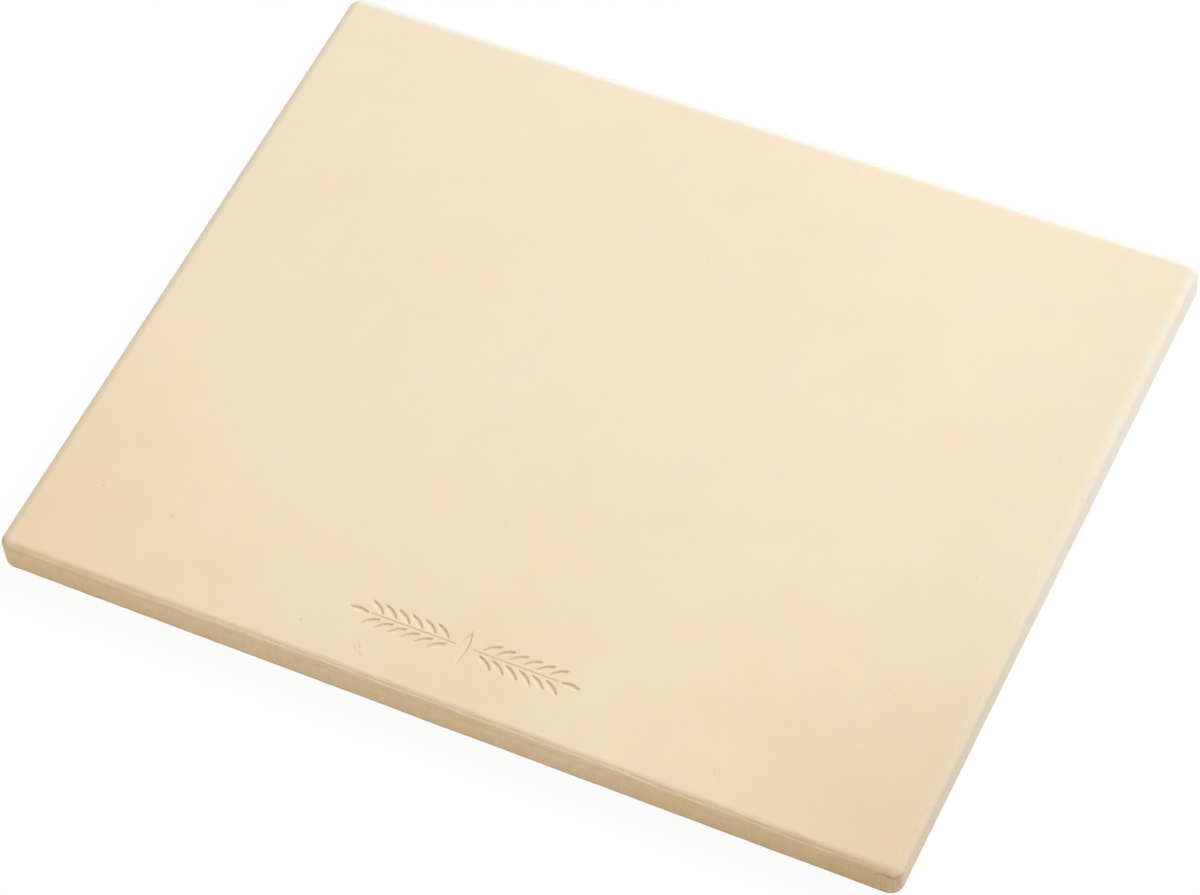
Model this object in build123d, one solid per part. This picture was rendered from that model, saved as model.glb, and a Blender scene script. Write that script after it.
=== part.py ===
from build123d import *
import math
import os

# A rectangular pizza stone: one dry-pressed, kiln-fired slab of unglazed cordierite.
# The origin is the middle of the underside. X runs along the long side, towards the right,
# Y runs from the front edge, near the pressed ornament, to the back edge, and Z is up.
# All lengths are in millimetres, and all angles are in degrees.

# Slab
slab_length = 381.0  # 15 inches, along X
slab_width = 304.8  # 12 inches, along Y
slab_thickness = 15.0
plan_corner_radius = 5.4

# Rounded shoulder round the baking face: a flat arc above, and a tighter one below it
shoulder_width = 4.7  # from the wall in to the flat face
shoulder_drop = 3.2  # from the flat face down to the top of the wall
shoulder_change_angle = 38.0  # slope at which one arc hands over to the other

# Press seam: the fine groove round the wall, where the punch met the die
seam_height = 0.7
seam_depth = 0.25

# Lower edge, rubbed round after pressing
foot_radius = 1.5

# Pressed ornament: two wheat ears, mirrored about an upright grain in the middle of the edge
ornament_setback = 28.0  # from the front wall in to the stems
press_depth = 0.7
press_wall_slope = 42.0  # slope of the walls of the pressed shapes
grain_pairs = 6  # on each ear
grain_pitch = 5.6
grain_length = 9.0
grain_breadth = 2.5
grain_splay = 34.0  # angle between a grain and its stem
stem_breadth = 0.9
stem_depth = 0.35
stem_clearance = 0.45  # from the side of a stem to the root of a grain
middle_grain_length = 16.0
middle_grain_breadth = 3.6
middle_clearance = 2.0  # from the side of the middle grain to the start of a stem

# Length by which a cutting shape runs past the surface that it cuts
cut_overrun = 1.0


def slab_outline(height):
    """Return the plan outline of the slab, as a face at a height."""
    return Pos(0, 0, height) * RectangleRounded(slab_length, slab_width, plan_corner_radius)


def shoulder_section():
    """Return the stock outside the shoulder and the seam, with X out of the wall and Y up."""
    angle = math.radians(shoulder_change_angle)
    sine = math.sin(angle)
    cosine = math.cos(angle)
    # The upper arc starts level, the lower arc ends upright, and they are tangent where they meet:
    #   upper * sine + lower * (1 - sine) = shoulder_width
    #   upper * (1 - cosine) + lower * cosine = shoulder_drop
    rise = shoulder_width * cosine - shoulder_drop * (1 - sine)
    upper_radius = rise / (sine + cosine - 1)

    # The flat face is at height 0 here, and the wall is at 0 across.
    level = (-shoulder_width, 0)
    meeting = (upper_radius * sine - shoulder_width, upper_radius * (cosine - 1))
    upright = (0, -shoulder_drop)
    seam_root = (-seam_depth, -shoulder_drop - seam_height / 2)
    seam_low = (0, -shoulder_drop - seam_height)
    outer_low = (cut_overrun, -shoulder_drop - seam_height)
    outer_high = (cut_overrun, cut_overrun)
    inner_high = (-shoulder_width, cut_overrun)
    upper_arc = TangentArc(level, meeting, tangent=(1, 0))
    lower_arc = TangentArc(meeting, upright, tangent=(cosine, -sine))
    rest = Polyline(upright, seam_root, seam_low, outer_low, outer_high, inner_high, level)
    return make_face([upper_arc, lower_arc, rest])


def blank_slab():
    """Return the slab without its ornament."""
    slab = extrude(slab_outline(0), amount=slab_thickness)
    underside = slab.faces().sort_by(Axis.Z)[0]
    slab = fillet(underside.edges(), radius=foot_radius)

    # The section of the shoulder and the seam goes once round the plan outline.
    path = slab_outline(slab_thickness).wire()
    heading = path % 0
    outward = heading.cross(Vector(0, 0, 1))
    start = Plane(origin=path @ 0, x_dir=outward, z_dir=-heading)
    return slab - sweep(start * shoulder_section(), path=path)


def press(outline, depth):
    """Return the stock that a pressed shape displaces below its outline, with sloping walls."""
    return extrude(outline, amount=-depth, taper=90 - press_wall_slope)


def grain(length, breadth):
    """Return the outline of a grain that grows from the origin along X, between two equal arcs."""
    near_side = ThreePointArc((0, 0), (length / 2, -breadth / 2), (length, 0))
    far_side = ThreePointArc((length, 0), (length / 2, breadth / 2), (0, 0))
    return make_face([near_side, far_side])


def ear():
    """Return the stock displaced by the ear on the right, whose stem lies on the X axis."""
    stem_start = middle_grain_breadth / 2 + middle_clearance
    first_root = stem_start + grain_pitch / 2
    tip_root = first_root + grain_pairs * grain_pitch
    stem_length = tip_root - stem_clearance - stem_start
    stem = Pos(stem_start + stem_length / 2, 0) * Rectangle(stem_length, stem_breadth)
    displaced = [press(stem, stem_depth)]

    root_offset = stem_breadth / 2 + stem_clearance
    for pair in range(grain_pairs):
        root_x = first_root + pair * grain_pitch
        for side in (-1, 1):
            place = Pos(root_x, side * root_offset) * Rot(0, 0, side * grain_splay)
            displaced.append(press(place * grain(grain_length, grain_breadth), press_depth))

    tip = Pos(tip_root, 0) * grain(grain_length, grain_breadth)
    displaced.append(press(tip, press_depth))
    return displaced


def ornament():
    """Return all the stock that the ornament displaces, in its place on the baking face."""
    right_ear = ear()
    left_ear = [piece.mirror(Plane.YZ) for piece in right_ear]
    upright = Pos(0, -middle_grain_length / 2) * Rot(0, 0, 90)
    middle = press(upright * grain(middle_grain_length, middle_grain_breadth), press_depth)
    place = Pos(0, ornament_setback - slab_width / 2, slab_thickness)
    return [place * piece for piece in [middle] + right_ear + left_ear]


stone_slab = blank_slab() - ornament()

os.makedirs("parts", exist_ok=True)
export_step(stone_slab, "parts/stone_slab.step")
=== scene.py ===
import bmesh
import bpy
import numpy as np
from mathutils import Matrix, Vector


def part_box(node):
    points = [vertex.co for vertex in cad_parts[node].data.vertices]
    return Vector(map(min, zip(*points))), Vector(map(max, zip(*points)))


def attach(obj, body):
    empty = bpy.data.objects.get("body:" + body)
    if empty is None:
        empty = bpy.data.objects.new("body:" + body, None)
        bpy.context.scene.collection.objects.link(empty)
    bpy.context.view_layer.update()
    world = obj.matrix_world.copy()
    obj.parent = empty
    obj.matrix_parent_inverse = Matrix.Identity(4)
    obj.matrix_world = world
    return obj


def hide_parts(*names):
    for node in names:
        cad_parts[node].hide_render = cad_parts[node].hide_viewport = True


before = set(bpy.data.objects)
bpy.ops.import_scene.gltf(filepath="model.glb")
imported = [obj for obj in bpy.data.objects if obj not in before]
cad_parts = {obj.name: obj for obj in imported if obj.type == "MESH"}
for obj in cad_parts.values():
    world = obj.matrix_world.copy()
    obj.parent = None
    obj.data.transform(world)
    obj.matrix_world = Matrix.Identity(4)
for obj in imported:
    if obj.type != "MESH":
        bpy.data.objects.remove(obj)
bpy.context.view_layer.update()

# Stone
# One slab of cordierite, pressed dry in a steel die and fired without a glaze. The punch leaves the
# flat face, the rounded shoulder, the fine seam below it and the wheat ears. The shoulder is then
# sponged along the edge, the corners are scraped clean, and the foot is rubbed round.
mm = 0.001
highest_corner = np.array(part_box("stone_slab")[1])
half_sides = highest_corner[:2]
thickness = highest_corner[2]
corner_radius = 5.4 * mm
shoulder_width = 4.7 * mm
shoulder_drop = 3.2 * mm
shoulder_change_angle = np.radians(38.0)
seam_height = 0.7 * mm
seam_depth = 0.25 * mm
foot_radius = 1.5 * mm
warp_height = 0.03 * mm
warp_wavelength = 140 * mm
core = half_sides - corner_radius
rim = corner_radius - shoulder_width

ornament_setback = 28.0 * mm
ornament_middle = ornament_setback - half_sides[1]
press_depth = 0.7 * mm
press_wall = 0.75 * mm
press_start_share = 0.1
# How dark the painted shade on a pressed wall is
press_painted_shade = 0.35
grain_pairs = 6
grain_pitch = 5.6 * mm
grain_length = 9.0 * mm
grain_breadth = 2.5 * mm
grain_splay = np.radians(34.0)
stem_breadth = 0.9 * mm
stem_depth = 0.35 * mm
stem_clearance = 0.45 * mm
middle_grain_length = 16.0 * mm
middle_grain_breadth = 3.6 * mm
middle_clearance = 2.0 * mm


def soft_step(value):
    """Rise smoothly from 0 to 1 as value goes from 0 to 1."""
    share = np.clip(value, 0, 1)
    return share * share * (3 - 2 * share)


def bell(value):
    """Bell curve: 1 where value is 0, and almost 0 past 2 on both sides."""
    return np.exp(-value * value)


def ripple(x, y, wavelength, seed, waves=7):
    """Sum of plane sine waves of about one wavelength, each in its own direction, of unit spread."""
    draw = np.random.default_rng(seed)
    heading = draw.uniform(0, 2 * np.pi, waves)
    pace = 2 * np.pi / (wavelength * draw.uniform(0.7, 1.4, waves))
    phase = draw.uniform(0, 2 * np.pi, waves)
    along = np.multiply.outer(x, np.cos(heading)) + np.multiply.outer(y, np.sin(heading))
    return np.sin(along * pace + phase).sum(-1) * np.sqrt(2 / waves)


def grain_depth(x, y, root_x, root_y, turn, length, breadth):
    """Depth under a grain: its outline is two equal arcs, and its walls rise in a soft step."""
    along = (x - root_x) * np.cos(turn) + (y - root_y) * np.sin(turn) - length / 2
    across = (y - root_y) * np.cos(turn) - (x - root_x) * np.sin(turn)
    radius = (length ** 2 + breadth ** 2) / (4 * breadth)
    inside = radius - np.hypot(along, np.abs(across) + radius - breadth / 2)
    return press_depth * soft_step(inside / press_wall + press_start_share)


def ornament_depth(x, y):
    """Depth of the two wheat ears and the upright grain between them: the deepest of their parts."""
    side_x = np.abs(x)
    up_y = y - ornament_middle
    stem_start = middle_grain_breadth / 2 + middle_clearance
    first_root = stem_start + grain_pitch / 2
    tip_root = first_root + grain_pairs * grain_pitch
    root_offset = stem_breadth / 2 + stem_clearance

    middle_root = -middle_grain_length / 2
    depth = grain_depth(x, up_y, 0, middle_root, np.pi / 2, middle_grain_length, middle_grain_breadth)
    depth = np.maximum(depth, grain_depth(side_x, up_y, tip_root, 0, 0, grain_length, grain_breadth))
    for pair in range(grain_pairs):
        root_x = first_root + pair * grain_pitch
        for side in (-1, 1):
            root_y = side * root_offset
            turn = side * grain_splay
            one = grain_depth(side_x, up_y, root_x, root_y, turn, grain_length, grain_breadth)
            depth = np.maximum(depth, one)

    past_end = np.maximum(stem_start - side_x, side_x - tip_root + stem_clearance)
    from_stem = np.hypot(np.maximum(past_end, 0), up_y)
    groove = stem_depth * soft_step((stem_breadth / 2 - from_stem) / (stem_breadth / 2))
    return np.maximum(depth, groove)


# Pits and short scratches that grit left in the face: place, half the length, half the breadth and
# the depth. They lie in a few small spots, for which the places are given with half the spot's side.
grit_heading = np.radians(119.0)
grit_marks = np.array([
    [-132.9, -114.4, 1.10, 0.45, 0.17],
    [-117.5, -139.1, 0.45, 0.40, 0.07],
    [-78.3, -142.6, 1.50, 0.35, 0.08],
    [165.8, -20.7, 0.60, 0.45, 0.13],
    [173.5, 43.4, 0.60, 0.50, 0.10],
    [150.1, -109.0, 0.55, 0.50, 0.08],
    [155.0, -108.5, 0.70, 0.45, 0.08],
    [-38.3, -141.0, 2.00, 0.30, 0.13],
    [-36.9, -139.9, 1.20, 0.28, 0.18],
    [-36.1, -142.2, 0.90, 0.28, 0.15],
    [-34.9, -142.8, 0.50, 0.40, 0.18],
    [110.4, -138.0, 1.70, 0.28, 0.12],
    [112.6, -138.7, 1.90, 0.28, 0.10],
]) * mm
grit_spots = np.array([
    [-132.9, -114.4, 2.2],
    [-117.5, -139.1, 2.2],
    [-78.3, -142.6, 2.2],
    [165.8, -20.7, 2.2],
    [173.5, 43.4, 2.2],
    [152.5, -108.7, 4.0],
    [-36.6, -141.4, 2.6],
    [111.5, -138.3, 3.0],
]) * mm
# Painted shade in a grit mark grows with its depth, up to the deep mark
deep_mark = 0.2 * mm
mark_painted_shade = 0.4


def grit_depth(x, y):
    """Depth of the pits and scratches: each is a bell curve over an ellipse."""
    depth = 0 * x
    for mark_x, mark_y, half_length, half_breadth, deepest in grit_marks:
        along = (x - mark_x) * np.cos(grit_heading) + (y - mark_y) * np.sin(grit_heading)
        across = (y - mark_y) * np.cos(grit_heading) - (x - mark_x) * np.sin(grit_heading)
        depth = depth + deepest * bell(np.hypot(along / half_length, across / half_breadth))
    return depth


def placed(x, y, height, painted_shade=0, flank=0):
    """Points on the slab, which its slow warp moves a little. Each also has how far painted shade darkens
    it, and how far it is over the shoulder: 0 on the faces and 1 on the wall."""
    warp = warp_height * ripple(x, y, warp_wavelength, seed=3) * height / thickness
    return np.stack([x, y, height + warp, painted_shade + 0 * x, flank + 0 * x], -1)


# Keeps a point of the core, which moves out in no direction, from a division by zero
least_length = 1e-12


def plan(x, y, reach):
    """Carry a grid point outside the core rectangle out to a reach, and round it at the corners. Its
    share of the reach is its share of the rim, and it also gets the direction that it moves out in."""
    core_x = np.clip(x, -core[0], core[0])
    core_y = np.clip(y, -core[1], core[1])
    out_x, out_y = x - core_x, y - core_y
    share = np.maximum(np.abs(out_x), np.abs(out_y)) / rim
    length = np.maximum(np.hypot(out_x, out_y), least_length)
    out_x, out_y = out_x / length, out_y / length
    return core_x + out_x * share * reach, core_y + out_y * share * reach, out_x, out_y


def spaced(stops, parts):
    """Places along a line, with each stretch between two stops divided into equal parts."""
    stretches = [np.linspace(a, b, n, endpoint=False) for a, b, n in zip(stops, stops[1:], parts)]
    return np.append(np.concatenate(stretches), stops[-1])


def gathered(stops, parts, middle, width):
    """Places as spaced gives them, but gathered round a middle by a hyperbolic sine."""
    return middle + width * np.sinh(spaced(np.arcsinh((stops - middle) / width), parts))


def quads(points):
    """Four-sided faces of a grid of points, which face along the cross of its rows and columns."""
    return np.stack([points[:-1, :-1], points[1:, :-1], points[1:, 1:], points[:-1, 1:]], 2)


def stitched(coarse, fine, parts):
    """Faces between a coarse row and a finer one on its left, with parts fine cells for each cell."""
    starts = np.cumsum(parts) - parts
    groups = []
    for count in np.unique(parts):
        chosen = np.flatnonzero(parts == count)
        fine_side = fine[starts[chosen, None] + np.arange(count, -1, -1)]
        groups.append(np.concatenate([coarse[chosen, None], coarse[chosen + 1, None], fine_side], 1))
    return groups


# The grid of the two faces has narrow cells at the rounded corners, and plain ones between them. Fine
# cells take their place at the ornament, where they are even, and at the grit marks.
cell = 6 * mm
corner_cells = 8
front_cells = 5
ornament_half = np.array([52, 8.8]) * mm
ornament_parts = 22
even_gathering = 10.0  # metres, so wide that the cells stay even
spot_parts = 12
wide_spot_parts = 20
wide_spot_half = 3 * mm
window_slack = 0.001 * mm
lines = []
for half, half_window, middle in zip(core, ornament_half, (0, ornament_middle)):
    stops = np.array([-half - rim, -half, middle - half_window, middle + half_window, half, half + rim])
    cells = np.ceil(np.diff(stops) / cell).astype(int)
    cells[[0, -1]] = corner_cells
    cells[1] = max(cells[1], front_cells)
    lines.append(spaced(stops, cells))
lines_x, lines_y = lines
grid_x, grid_y = np.meshgrid(lines_x, lines_y, indexing="ij")
x, y, out_x, out_y = plan(grid_x, grid_y, rim)
flat_face = placed(x, y, thickness + 0 * x)
closed = np.ones((len(lines_x) - 1, len(lines_y) - 1), bool)
faces = []


def open_window(middle, half_window, parts, width):
    """Put fine cells, gathered round a middle, in the place of the cells that a box touches."""
    spans, fine_lines = [], []
    for line, at, half in zip(lines, middle, half_window):
        first = np.searchsorted(line, at - half + window_slack, "right") - 1
        last = np.searchsorted(line, at + half - window_slack)
        spans.append(slice(first, last + 1))
        fine_lines.append(gathered(line[first:last + 1], [parts] * (last - first), at, width))
    span_x, span_y = spans
    fine_x, fine_y = np.meshgrid(*fine_lines, indexing="ij")
    pressed, marked = ornament_depth(fine_x, fine_y), grit_depth(fine_x, fine_y)
    # Painted shade: a pressed wall is darkest half-way down, and a grit mark where it is deepest.
    pressed_share = pressed / press_depth
    dark = press_painted_shade * 4 * pressed_share * (1 - pressed_share) + mark_painted_shade * marked / deep_mark
    fine = placed(fine_x, fine_y, thickness - pressed - marked, np.clip(dark, 0, 1))
    faces.append(quads(fine).reshape(-1, 4, fine.shape[-1]))

    # The ring of coarse cells round the window is stitched to its fine edge.
    first_x, last_x, first_y, last_y = span_x.start, span_x.stop - 1, span_y.start, span_y.stop - 1
    closed[first_x - 1:last_x + 1, first_y:last_y] = False
    closed[first_x:last_x, first_y - 1:last_y + 1] = False
    parts_x, parts_y = np.full(last_x - first_x, parts), np.full(last_y - first_y, parts)
    faces.extend(stitched(flat_face[span_x, first_y - 1], fine[:, 0], parts_x))
    faces.extend(stitched(flat_face[last_x + 1, span_y], fine[-1], parts_y))
    faces.extend(stitched(flat_face[span_x, last_y + 1][::-1], fine[::-1, -1], parts_x))
    faces.extend(stitched(flat_face[first_x - 1, span_y][::-1], fine[0, ::-1], parts_y))


open_window((0, ornament_middle), ornament_half, ornament_parts, even_gathering)
for *middle, half in grit_spots:
    parts = spot_parts if half < wide_spot_half else wide_spot_parts
    open_window(middle, (half, half), parts, half / 3)
face_quads = quads(flat_face)
faces.append(face_quads[closed])

# Section of the shoulder, the seam, the wall and the foot, from the flat face down: its inset from
# the wall, its height, how far it leans over and how long it is so far
sine, cosine = np.sin(shoulder_change_angle), np.cos(shoulder_change_angle)
upper_radius = (shoulder_width * cosine - shoulder_drop * (1 - sine)) / (sine + cosine - 1)
lower_radius = (shoulder_width - upper_radius * sine) / (1 - sine)
shoulder_foot = thickness - shoulder_drop
quarter = np.pi / 2
upper_rings, lower_rings, seam_rings, wall_rings, foot_rings = 26, 14, 4, 13, 5
upper_turn = np.linspace(0, shoulder_change_angle, upper_rings + 1)[1:]
lower_turn = np.linspace(shoulder_change_angle, quarter, lower_rings + 1)[1:]
seam_fall = np.linspace(0, 1, seam_rings + 1)[1:]
wall_height = np.linspace(shoulder_foot - seam_height, foot_radius, wall_rings + 1)[1:]
foot_turn = np.linspace(0, quarter, foot_rings + 1)[1:]
inset = np.concatenate([
    shoulder_width - upper_radius * np.sin(upper_turn),
    lower_radius * (1 - np.sin(lower_turn)),
    0 * seam_fall,
    0 * wall_height,
    foot_radius * (1 - np.cos(foot_turn)),
])[:, None]
height = np.concatenate([
    thickness - upper_radius * (1 - np.cos(upper_turn)),
    shoulder_foot + lower_radius * np.cos(lower_turn),
    shoulder_foot - seam_height * seam_fall,
    wall_height,
    foot_radius * (1 - np.sin(foot_turn)),
])[:, None]
lean = np.concatenate([
    upper_turn,
    lower_turn,
    0 * seam_fall + quarter,
    0 * wall_height + quarter,
    foot_turn + quarter,
])[:, None]
seam_share = np.concatenate([
    0 * upper_turn,
    0 * lower_turn,
    1 - np.abs(2 * seam_fall - 1),
    0 * wall_height,
    0 * foot_turn,
])[:, None]
shoulder_run = upper_radius * shoulder_change_angle + lower_radius * (quarter - shoulder_change_angle)
steps = np.hypot(np.diff(inset, axis=0, prepend=shoulder_width), np.diff(height, axis=0, prepend=thickness))
run = np.cumsum(steps)[:, None]
flank = np.minimum(run / shoulder_run, 1) * np.clip(2 - lean / quarter, 0, 1)

# The section is carried once round the plan outline, from the front left corner over the front, right,
# back and left edges. Its columns are close on the front, at the corners and just before them.
near_parts = 10
loop_x, loop_y, side_parts = [], [], []
for line, edge_x, edge_y, edge_parts in (
    (lines_x, lines_x[:-1], lines_y[0], 3),
    (lines_y, lines_x[-1], lines_y[:-1], 2),
    (lines_x, lines_x[:0:-1], lines_y[-1], 2),
    (lines_y, lines_x[0], lines_y[::-1], 2),
):
    edge_x, edge_y = np.broadcast_arrays(edge_x, edge_y)
    loop_x.append(edge_x)
    loop_y.append(edge_y)
    parts = np.full(len(line) - 1, edge_parts)
    parts[[corner_cells, -1 - corner_cells]] = near_parts
    side_parts.append(parts)
loop_x, loop_y, side_parts = (np.concatenate(part) for part in (loop_x, loop_y, side_parts))
side_x, side_y, out_x, out_y = plan(spaced(loop_x, side_parts), spaced(loop_y, side_parts), corner_radius)

# Lines that the sponge leaves along the shoulder: the place below the face, the depth and the
# half-width of each, at the left end of an edge, in its middle and at its right end. They are plain on
# the front, and faint elsewhere.
sponge_lines = np.array([
    [[1.90, -0.110, 1.00], [1.20, -0.070, 1.00], [2.10, -0.150, 1.10]],
    [[3.10, 0.030, 0.40], [2.67, 0.055, 0.42], [3.28, 0.120, 0.36]],
    [[4.40, -0.150, 0.90], [3.35, -0.075, 0.36], [4.15, -0.120, 1.10]],
    [[5.00, -0.080, 0.36], [5.00, -0.050, 0.36], [4.95, -0.140, 0.36]],
])[..., None] * mm
faint_share = 0.12
corner_fade_right, corner_fade_left = 40 * mm, 14 * mm
middle_reach, end_fade = 60 * mm, 70 * mm
line_drift, drift_wavelength = 0.15 * mm, 28 * mm
break_wavelength = 13 * mm
seam_wavelength = 30 * mm
# How dark the painted shade is in the sponge lines and in the seam
sponge_painted_shade, seam_painted_shade = 0.4, 0.6
corner_fade = np.where(side_x > 0, corner_fade_right, corner_fade_left)
from_corner = soft_step((half_sides[0] - np.abs(side_x)) / corner_fade)
facing_front = faint_share + (1 - faint_share) * np.clip(-out_y, 0, 1) ** 3 * from_corner
to_left = soft_step((-side_x - middle_reach) / end_fade)
to_right = soft_step((side_x - middle_reach) / end_fade)
sunk = 0 * run + 0 * side_x
for number, (left_end, middle, right_end) in enumerate(sponge_lines):
    line_run, depth, half_width = middle + (left_end - middle) * to_left + (right_end - middle) * to_right
    drift = line_drift * ripple(side_x, side_y, drift_wavelength, seed=11 + number)
    broken = np.clip(0.92 + 0.50 * ripple(side_x, side_y, break_wavelength, seed=20 + number), 0.1, 1.9)
    sunk += depth * facing_front * broken * bell((run - line_run - drift) / half_width)
seam_strength = np.clip(0.3 + 0.25 * ripple(side_x, side_y, seam_wavelength, seed=31), 0.05, 1)
# Painted shade in the sponge lines, by their depth, and in the seam
painted_shade = sponge_painted_shade * sunk / seam_depth + seam_painted_shade * seam_share * seam_strength
sunk += seam_depth * seam_share * seam_strength

# The walls are not quite flat. The foot is rubbed unevenly, and rounder toward the front right corner.
wall_waviness, wall_wavelength = 0.03 * mm, 30 * mm
foot_waviness, foot_wavelength = 0.06 * mm, 7 * mm
rub_depth, rub_half_width = 0.16 * mm, 1.3 * mm
right_rub_depth, right_rub_slope = 0.14 * mm, 0.0013
on_wall = soft_step((run - shoulder_run) / mm)
wall_waves = np.maximum(1 + ripple(side_x, side_y, wall_wavelength, seed=41), 0)
foot_waves = np.maximum(1 + ripple(side_x, side_y, foot_wavelength, seed=42), 0)
sunk += wall_waviness * on_wall * wall_waves
sunk += foot_waviness * (lean > quarter) * foot_waves
rubbed = rub_depth + np.clip(out_x, 0, 1) * (right_rub_depth - right_rub_slope * side_y)
sunk += rubbed * bell((run - run[-1] + foot_radius * quarter / 2) / rub_half_width)

# Scraped corners: which corner, how dark the painted shade under the lip of the scrape is, and its lengths:
# the depth, the reach to the left and to the right of the corner as seen from outside, how far down it goes
# below the shoulder, and how far up it goes, the place of that rise and its half-width
scrapes = [
    ((1, -1), 1.0, np.array([0.55, 13.0, 5.0, 8.0, 1.65, -6.0, 4.2]) * mm),
    ((-1, -1), 1.0, np.array([0.15, 9.0, 3.0, 4.0, 0.90, -4.5, 1.5]) * mm),
    ((1, 1), 0.2, np.array([0.12, 5.0, 5.0, 6.0, 0.00, 0.0, 1.0]) * mm),
    ((-1, 1), 0.2, np.array([0.12, 5.0, 5.0, 6.0, 0.00, 0.0, 1.0]) * mm),
]
corner_reach = 20 * mm
flute_depth_share, flute_wavelength = 0.35, 2.2 * mm
left_fade, right_fade, low_fade = 1.4, 2.0, 1.5
lip_height, lip_start_share = 0.3 * mm, 0.3
shade_half_width = 0.9 * mm
flutes = 1 + flute_depth_share * ripple(side_x, side_y, flute_wavelength, seed=51)
for (side_of_x, side_of_y), lip_painted_shade, lengths in scrapes:
    depth, reach_left, reach_right, fall, rise, rise_place, rise_half = lengths
    past_x, past_y = side_x - side_of_x * half_sides[0], side_y - side_of_y * half_sides[1]
    along = side_of_x * past_y - side_of_y * past_x
    near = np.hypot(past_x, past_y) < corner_reach
    left_share = soft_step(left_fade * (1 + along / reach_left))
    right_share = soft_step(right_fade * (1 - along / reach_right))
    down = shoulder_foot - height + rise * bell((along - rise_place) / rise_half)
    scraped = near * left_share * right_share * soft_step(down / lip_height + lip_start_share)
    sunk += depth * scraped * flutes * soft_step(low_fade * (1 - down / fall))
    # Painted shade under the lip of the scrape
    painted_shade += lip_painted_shade * scraped * bell((down - lip_height) / shade_half_width)

side_inset = inset + sunk * np.sin(lean)
side_height = height - sunk * np.cos(lean)
side = placed(
    side_x - out_x * side_inset, side_y - out_y * side_inset, side_height, np.clip(painted_shade, 0, 1), flank
)
faces.append(quads(side.transpose(1, 0, 2)).reshape(-1, 4, side.shape[-1])[:, ::-1])

x, y, out_x, out_y = plan(loop_x, loop_y, rim)
flat_loop = placed(x, y, thickness + 0 * x)
faces.extend(stitched(flat_loop[::-1], side[0, ::-1], side_parts[::-1]))
underside_reach = corner_radius - 2 * foot_radius
x, y, out_x, out_y = plan(grid_x, grid_y, underside_reach)
faces.append(quads(placed(x, y, 0 * x)).reshape(-1, 4, side.shape[-1])[:, ::-1])
x, y, out_x, out_y = plan(loop_x, loop_y, underside_reach)
faces.extend(stitched(placed(x, y, 0 * x), side[-1], side_parts))

# The faces are put together, and their shared points are merged.
merge_distance = 0.002 * mm
points = np.concatenate([group.reshape(-1, group.shape[-1]) for group in faces])
starts = np.cumsum([0] + [group.shape[0] * group.shape[1] for group in faces])
numbers = []
for start, group in zip(starts, faces):
    numbers.extend((start + np.arange(group.shape[0] * group.shape[1])).reshape(group.shape[:2]).tolist())
stone_mesh = bpy.data.meshes.new("stone")
stone_mesh.from_pydata(points[:, :3], [], numbers)
for name, values in (("painted_shade", points[:, 3]), ("flank", points[:, 4])):
    stone_mesh.attributes.new(name, "FLOAT", "POINT").data.foreach_set("value", values)
merged = bmesh.new()
merged.from_mesh(stone_mesh)
bmesh.ops.remove_doubles(merged, verts=merged.verts, dist=merge_distance)
merged.to_mesh(stone_mesh)
merged.free()
stone_mesh.shade_smooth()
stone = bpy.data.objects.new("stone", stone_mesh)
bpy.context.collection.objects.link(stone)
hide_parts("stone_slab")
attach(stone, "root")


def shader(tree, kind, sockets, **settings):
    """Add a node, whose sockets each take a value or the output of another node, and give its outputs."""
    node = tree.nodes.new("ShaderNode" + kind)
    for name, value in settings.items():
        setattr(node, name, value)
    for name, value in sockets.items():
        if isinstance(value, bpy.types.NodeSocket):
            tree.links.new(value, node.inputs[name])
        else:
            node.inputs[name].default_value = value
    return node.outputs


# Finish: fired cordierite is a fine, matt, warm cream clay, a little mottled, with a few specks of iron.
# The two front corners are tinted warmer and darker, the wall is dustier and drawn upright by the die,
# and painted shade darkens the hollows.
finish = bpy.data.materials.new("cordierite")
finish.use_nodes = True
stone_mesh.materials.append(finish)
tree = finish.node_tree
surface = tree.nodes["Principled BSDF"].inputs
place = shader(tree, "TexCoord", {})["Object"]
painted_shade = shader(tree, "Attribute", {}, attribute_name="painted_shade")["Fac"]
flank = shader(tree, "Attribute", {}, attribute_name="flank")["Fac"]


def noise(size, detail=3.0, vector=place, roughness=0.5):
    """Cloudy noise with patches of about that size, from about 0.2 to 0.8."""
    sockets = {"Vector": vector, "Scale": 1 / size, "Detail": detail, "Roughness": roughness}
    return shader(tree, "TexNoise", sockets)["Fac"]


def ranged(value, low, high, to_low=0.0, to_high=1.0):
    """Carry a value from one range to another, and hold it at the ends."""
    sockets = {"Value": value, "From Min": low, "From Max": high, "To Min": to_low, "To Max": to_high}
    return shader(tree, "MapRange", sockets)["Result"]


def times(first, second):
    """Product of two values."""
    return shader(tree, "Math", {0: first, 1: second}, operation="MULTIPLY")[0]


def plus(first, second):
    """Sum of two values."""
    return shader(tree, "Math", {0: first, 1: second}, operation="ADD")[0]


def scaled(vector, factors, shift=(0, 0, 0)):
    """Vector with each part scaled and shifted."""
    sockets = {"Vector": vector, "Scale": factors, "Location": shift}
    return shader(tree, "Mapping", sockets)["Vector"]


def tinted(colour, tint, share, blend="MULTIPLY"):
    """Colour multiplied by a tint, or mixed with it, as far as a share says."""
    sockets = {0: share, 6: colour, 7: tint if isinstance(tint, bpy.types.NodeSocket) else (*tint, 1)}
    return shader(tree, "Mix", sockets, data_type="RGBA", blend_type=blend)[2]


def dappled(colour, size, share):
    """Colour whose three parts each rise and fall with clouds of their own, from the size down."""
    sockets = {"Vector": place, "Scale": 1 / size, "Detail": 5.0, "Roughness": 0.85}
    return tinted(colour, shader(tree, "TexNoise", sockets)["Color"], share, "LINEAR_LIGHT")


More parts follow.
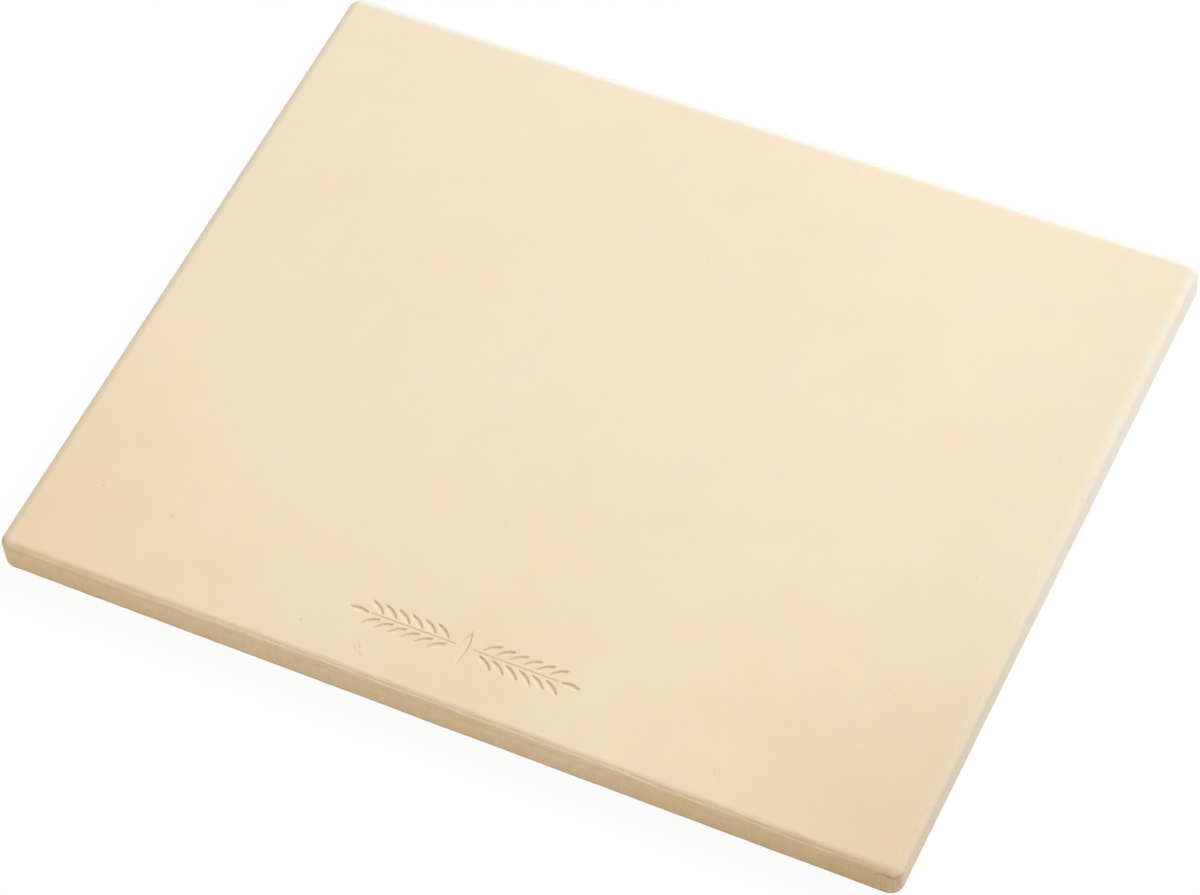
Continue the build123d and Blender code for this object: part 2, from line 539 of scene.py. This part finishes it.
clay = (0.874, 0.738, 0.542, 1)
cloud_tint = (0.990, 0.985, 0.975)
grain_tint = (0.985, 0.980, 0.975)
right_side_tint = (0.960, 0.962, 0.975)
grain_size = 0.7 * mm
dapple_size = 20 * mm
cloud_size = 90 * mm
low_down_start, low_down_full = 7 * mm, 3 * mm
right_side_start, right_side_full = 120 * mm, 188 * mm
grain = noise(grain_size, 4.0, roughness=0.6)
along_x, along_y, up_z = shader(tree, "SeparateXYZ", {"Vector": place})
on_shoulder = times(ranged(flank, 0.05, 0.3), ranged(flank, 1.0, 0.9))
on_wall = ranged(flank, 0.75, 1.0)
low_down = ranged(up_z, low_down_start, low_down_full)
colour = dappled(clay, dapple_size, 0.036)
colour = tinted(colour, cloud_tint, ranged(noise(cloud_size, 2.0), 0.35, 0.65))
colour = tinted(colour, grain_tint, ranged(grain, 0.35, 0.75))
colour = tinted(colour, right_side_tint, ranged(along_x, right_side_start, right_side_full))

# Warmer, darker tint at the two front corners, and a little between them: its middle, how far it
# reaches, its tint, and what tints the wall more
front_tint_cloud_size = 35 * mm
for front_tint_x, front_tint_y, reach, tint, more_on_wall in (
    (190 * mm, -152 * mm, 150 * mm, (0.940, 0.890, 0.815), (0.93, 0.91, 0.87)),
    (-190 * mm, -152 * mm, 130 * mm, (1.000, 0.935, 0.850), (1.00, 1.00, 1.00)),
    (0, -152 * mm, 120 * mm, (0.970, 0.955, 0.915), (1.00, 1.00, 1.00)),
):
    away = scaled(place, (1 / reach, 1 / reach, 1 / reach), (-front_tint_x / reach, -front_tint_y / reach, 0))
    ball = shader(tree, "TexGradient", {"Vector": away}, gradient_type="SPHERICAL")["Fac"]
    cloudy = plus(ball, ranged(noise(front_tint_cloud_size, 3.0), 0.3, 0.7, -0.08, 0.08))
    front_tinted = ranged(cloudy, 0.05, 0.9)
    colour = tinted(colour, tint, front_tinted)
    colour = tinted(colour, more_on_wall, times(front_tinted, on_wall))

# Specks of iron: only some cells of the cell pattern hold one, where the surface meets its middle
speck_cell = 5 * mm
iron_tint = (0.62, 0.50, 0.40)
specks = shader(tree, "TexVoronoi", {"Vector": place, "Scale": 1 / speck_cell})
held = ranged(shader(tree, "SeparateColor", {"Color": specks["Color"]})["Red"], 0.60, 0.62)
colour = tinted(colour, iron_tint, times(held, ranged(specks["Distance"], 0.060, 0.030, 0, 0.4)))

# Stains where the edge was knocked, a painted highlight where a corner was rubbed, and two stains on
# the face: the middle and the radius of each
stain, rubbed_corner_highlight = (0.70, 0.64, 0.52), (1.03, 1.045, 1.10)
for *middle, radius, tint in (
    (-188.8 * mm, -149.3 * mm, 13.4 * mm, 1.8 * mm, stain),
    (189.2 * mm, -150.5 * mm, 11.7 * mm, 2.0 * mm, stain),
    (186.6 * mm, -152.1 * mm, 12.7 * mm, 1.5 * mm, stain),
    (-188.6 * mm, -143.6 * mm, 13.2 * mm, 1.2 * mm, stain),
    (-187.2 * mm, -136.6 * mm, 14.2 * mm, 1.0 * mm, stain),
    (188.7 * mm, 28.4 * mm, 13.6 * mm, 0.9 * mm, stain),
    (-63.3 * mm, -137.3 * mm, 15.0 * mm, 0.6 * mm, stain),
    (-164.4 * mm, -111.9 * mm, 15.0 * mm, 0.6 * mm, stain),
    # Painted highlight on the rubbed corner
    (-185.1 * mm, -149.1 * mm, 14.6 * mm, 3.4 * mm, rubbed_corner_highlight),
):
    away = shader(tree, "VectorMath", {0: place, 1: middle}, operation="DISTANCE")["Value"]
    colour = tinted(colour, tint, times(ranged(away, radius, 0.3 * radius), ranged(grain, 0.3, 0.6, 0.5, 1)))

# Wall: warmer than the face, with upright drag marks from the die, most near the front right corner,
# dusty mottling and painted light that lifts the shade low down, and painted shade at the rubbed foot
wall_tint = (0.962, 0.948, 0.922)
drag_tint = (0.915, 0.895, 0.845)
mottle_tint = (0.930, 0.925, 0.910)
low_down_painted_light = (1.080, 1.080, 1.085)
dust_tint = (0.70, 0.70, 0.70)
foot_painted_shade = (0.90, 0.88, 0.85)
drag_size = 1.6 * mm
drag_squeeze = (1, 1, 0.15)
mottle_size = 1.6 * mm
dust_size = 1.2 * mm
edge_dapple_size = 5 * mm
right_edge_start, right_edge_full = half_sides[0] - 5.0 * mm, half_sides[0] - 1.5 * mm
dragged_corner = (half_sides[0], -half_sides[1], 6.0 * mm)
drag_full_reach, drag_far_reach = 8 * mm, 30 * mm
dusty_start, dusty_full = 8 * mm, 3 * mm
foot_start, foot_full = 3 * mm, 2 * mm
drag = noise(drag_size, 3.0, scaled(place, drag_squeeze), 0.8)
mottle = noise(mottle_size, 3.0, roughness=0.7)
at_right = ranged(along_x, right_edge_start, right_edge_full)
off_corner = shader(tree, "VectorMath", {0: place, 1: dragged_corner}, operation="DISTANCE")["Value"]
near_corner = ranged(off_corner, drag_full_reach, drag_far_reach, 1.0, 0.45)
dragged = times(ranged(drag, 0.42, 0.62), near_corner)
colour = tinted(colour, wall_tint, on_wall)
colour = tinted(colour, drag_tint, times(on_wall, dragged))
wall_dapple = times(on_wall, ranged(up_z, dusty_start, dusty_full, 0.10, 0.20))
colour = dappled(colour, edge_dapple_size, wall_dapple)
colour = tinted(colour, mottle_tint, times(low_down, ranged(mottle, 0.56, 0.72)))
# Painted light low down, which lifts the shade near the floor
colour = tinted(colour, low_down_painted_light, low_down)
dust = times(ranged(noise(dust_size, 2.0, roughness=0.9), 0.4, 0.6), ranged(flank, 0.05, 0.3))
dusty = plus(ranged(up_z, dusty_start, dusty_full, 0.12, 0.28), times(times(at_right, on_wall), 0.22))
colour = tinted(colour, dust_tint, times(dust, dusty))
# Painted shade at the foot
colour = tinted(colour, foot_painted_shade, ranged(up_z, foot_start, foot_full))

# Sponge streaks on the shoulder run along the edge: the pattern follows how far over the shoulder a
# point is, and is weaker on the right.
sponge_tint = (0.960, 0.945, 0.930)
painted_shade_tint = (0.74, 0.64, 0.52)
streaks_per_metre = 120
streaks_across = 12.0
along_edge = scaled(place, (streaks_per_metre, streaks_per_metre, 1))
streak_x, streak_y, _ = shader(tree, "SeparateXYZ", {"Vector": along_edge})
over_edge = times(flank, streaks_across)
round_edge = shader(tree, "CombineXYZ", {"X": streak_x, "Y": streak_y, "Z": over_edge})[0]
sponged = noise(1.0, 4.0, round_edge, 0.65)
sponged = ranged(at_right, 0, 1, sponged, plus(times(sponged, 0.4), 0.3))
colour = tinted(colour, sponge_tint, times(on_shoulder, ranged(sponged, 0.42, 0.64)))
colour = dappled(colour, edge_dapple_size, times(on_shoulder, 0.06))
# Painted shade in the pressed walls, the grit marks, the sponge lines, the seam and under the scraped lips
colour = tinted(colour, painted_shade_tint, painted_shade)

# Painted sheen and highlight make the edge paler on the right, a painted highlight makes the shoulder at
# the back paler, where the wall is a little darker, and painted sheen greys the left edge a little, which is
# also yellower in front.
right_painted_sheen = (0.86, 0.78, 0.70)
right_shoulder_tint = (0.965, 0.965, 0.960)
back_painted_highlight = (0.86, 0.825, 0.777)
back_wall_tint = (0.90, 0.90, 0.89)
left_painted_sheen = (0.81, 0.745, 0.68)
yellow_tint = (1.000, 0.985, 0.920)
right_sheen_start, right_sheen_full = -40 * mm, 90 * mm
back_start, back_full = half_sides[1] - 4.9 * mm, half_sides[1] - 1.9 * mm
left_start, left_full = 4.5 * mm - half_sides[0], 2.5 * mm - half_sides[0]
yellow_inner, yellow_inner_full = 5.5 * mm - half_sides[0], 3.5 * mm - half_sides[0]
yellow_outer, yellow_outer_full = 1.5 * mm - half_sides[0], 2.7 * mm - half_sides[0]
yellow_end, yellow_full = 120 * mm, 0
# Painted sheen and highlight on the right edge, stronger toward the back
right_sheen_share = times(at_right, ranged(along_y, right_sheen_start, right_sheen_full, 0.12, 0.45))
colour = tinted(colour, right_painted_sheen, right_sheen_share, "MIX")
colour = tinted(colour, right_shoulder_tint, times(at_right, on_shoulder))
at_back = ranged(along_y, back_start, back_full)
# Painted highlight on the shoulder at the back
colour = tinted(colour, back_painted_highlight, times(at_back, ranged(flank, 0.45, 0.80, 0.80, 0.20)), "MIX")
colour = tinted(colour, back_wall_tint, times(at_back, ranged(flank, 0.45, 0.90)))
# Painted sheen on the left edge
colour = tinted(colour, left_painted_sheen, ranged(along_x, left_start, left_full, 0, 0.25), "MIX")
inner_side = ranged(along_x, yellow_inner, yellow_inner_full)
outer_side = ranged(along_x, yellow_outer, yellow_outer_full)
yellowed = times(times(inner_side, outer_side), ranged(along_y, yellow_end, yellow_full))
colour = tinted(colour, yellow_tint, yellowed)
surface["Base Color"].default_value = clay
tree.links.new(colour, surface["Base Color"])
tree.links.new(ranged(grain, 0.3, 0.7, 0.50, 0.64), surface["Roughness"])
surface["Specular IOR Level"].default_value = 0.14
surface["Sheen Weight"].default_value = 0.16
surface["Sheen Roughness"].default_value = 0.45

# Relief too fine for the mesh, in millimetres
grain_relief, cloud_relief, drag_relief, mottle_relief, sponge_relief = 0.008, 0.010, 0.030, 0.060, 0.050
small_cloud_size = 6 * mm
relief = ranged(grain, 0.2, 0.8, 0, grain_relief)
relief = plus(relief, ranged(noise(small_cloud_size, 2.0), 0.2, 0.8, 0, cloud_relief))
relief = plus(relief, times(on_wall, ranged(drag, 0.2, 0.8, 0, drag_relief)))
relief = plus(relief, times(low_down, ranged(mottle, 0.3, 0.7, 0, mottle_relief)))
relief = plus(relief, times(on_shoulder, ranged(sponged, 0.2, 0.8, 0, sponge_relief)))
bump = shader(tree, "Bump", {"Height": relief, "Distance": mm, "Strength": 1.0})["Normal"]
tree.links.new(bump, surface["Normal"])

# Floor
# A plain pale floor without an edge in view. To the camera, and in gloss and glass, it is nearly
# white, and it keeps the stone's soft shadow.
floor_mesh = bpy.data.meshes.new("floor")
floor_half = 6.0
floor_height = -0.1 * mm
floor_corners = [(-1, -1), (1, -1), (1, 1), (-1, 1)]
floor_points = [(x * floor_half, y * floor_half, floor_height) for x, y in floor_corners]
floor_mesh.from_pydata(floor_points, [], [(0, 1, 2, 3)])
floor = bpy.data.objects.new("floor", floor_mesh)
bpy.context.collection.objects.link(floor)
floor_finish = bpy.data.materials.new("pale floor")
floor_finish.use_nodes = True
floor_mesh.materials.append(floor_finish)
tree = floor_finish.node_tree
tree.nodes.clear()
white_share = 0.94
ray = shader(tree, "LightPath", {})
seen = plus(plus(ray["Is Camera Ray"], ray["Is Glossy Ray"]), ray["Is Transmission Ray"])
white = shader(tree, "Emission", {"Color": (1, 1, 1, 1), "Strength": 1.0})[0]
matt = shader(tree, "BsdfDiffuse", {"Color": (0.92, 0.92, 0.92, 1)})[0]
blend = shader(tree, "MixShader", {0: times(seen, white_share), 1: matt, 2: white})[0]
shader(tree, "OutputMaterial", {"Surface": blend})

# Light
# A large cool soft box stands behind the stone on the right, with a second one behind it on the left
# and a low warm fill in front. White walls all round fill the shade.
world = bpy.data.worlds.new("studio")
bpy.context.scene.world = world
world.use_nodes = True
world.node_tree.nodes["Background"].inputs["Color"].default_value = (1, 0.965, 0.90, 1)
world.node_tree.nodes["Background"].inputs["Strength"].default_value = 0.41


def soft_box(name, place, sides, power, tint):
    """Add a rectangular lamp that faces the stone."""
    lamp = bpy.data.lights.new(name, "AREA")
    lamp.shape = "RECTANGLE"
    lamp.size, lamp.size_y = sides
    lamp.energy = power
    lamp.color = tint
    box = bpy.data.objects.new(name, lamp)
    box.location = place
    box.rotation_euler = (-Vector(place)).to_track_quat("-Z", "Y").to_euler()
    bpy.context.collection.objects.link(box)


soft_box("key", (1.3, 1.4, 1.7), (1.4, 1.4), 54, (0.80, 0.88, 1.00))
soft_box("back fill", (-0.8, 1.5, 1.9), (1.6, 1.4), 16, (1.00, 0.98, 0.94))
soft_box("low front fill", (-0.2, -2.2, 0.9), (2.0, 1.2), 9.0, (1.00, 0.72, 0.30))

# Camera
# The photograph was taken from the front right and well above, with a long lens.
camera_azimuth = np.radians(31.283)
camera_elevation = np.radians(54.183)
camera_roll = np.radians(-7.064)
camera_distance = 1.713
camera_target = np.array([2.013 * mm, -11.51 * mm, 0])
photo_width = 1200
focal_length_pixels = 4349
sensor_width = 36.0
back = np.array([
    np.sin(camera_azimuth) * np.cos(camera_elevation),
    -np.cos(camera_azimuth) * np.cos(camera_elevation),
    np.sin(camera_elevation),
])
level_right = np.array([np.cos(camera_azimuth), np.sin(camera_azimuth), 0])
level_up = np.cross(back, level_right)
right = np.cos(camera_roll) * level_right + np.sin(camera_roll) * level_up
up = np.cos(camera_roll) * level_up - np.sin(camera_roll) * level_right
camera_data = bpy.data.cameras.new("camera")
camera_data.sensor_width = sensor_width
camera_data.lens = sensor_width * focal_length_pixels / photo_width
camera = bpy.data.objects.new("camera", camera_data)
turn = Matrix(np.stack([right, up, back], 1).tolist()).to_4x4()
camera.matrix_world = Matrix.Translation(camera_target + camera_distance * back) @ turn
bpy.context.collection.objects.link(camera)
bpy.context.scene.camera = camera
bpy.context.scene.view_settings.view_transform = "Standard"

# The scene is brought up to date.
bpy.context.view_layer.update()
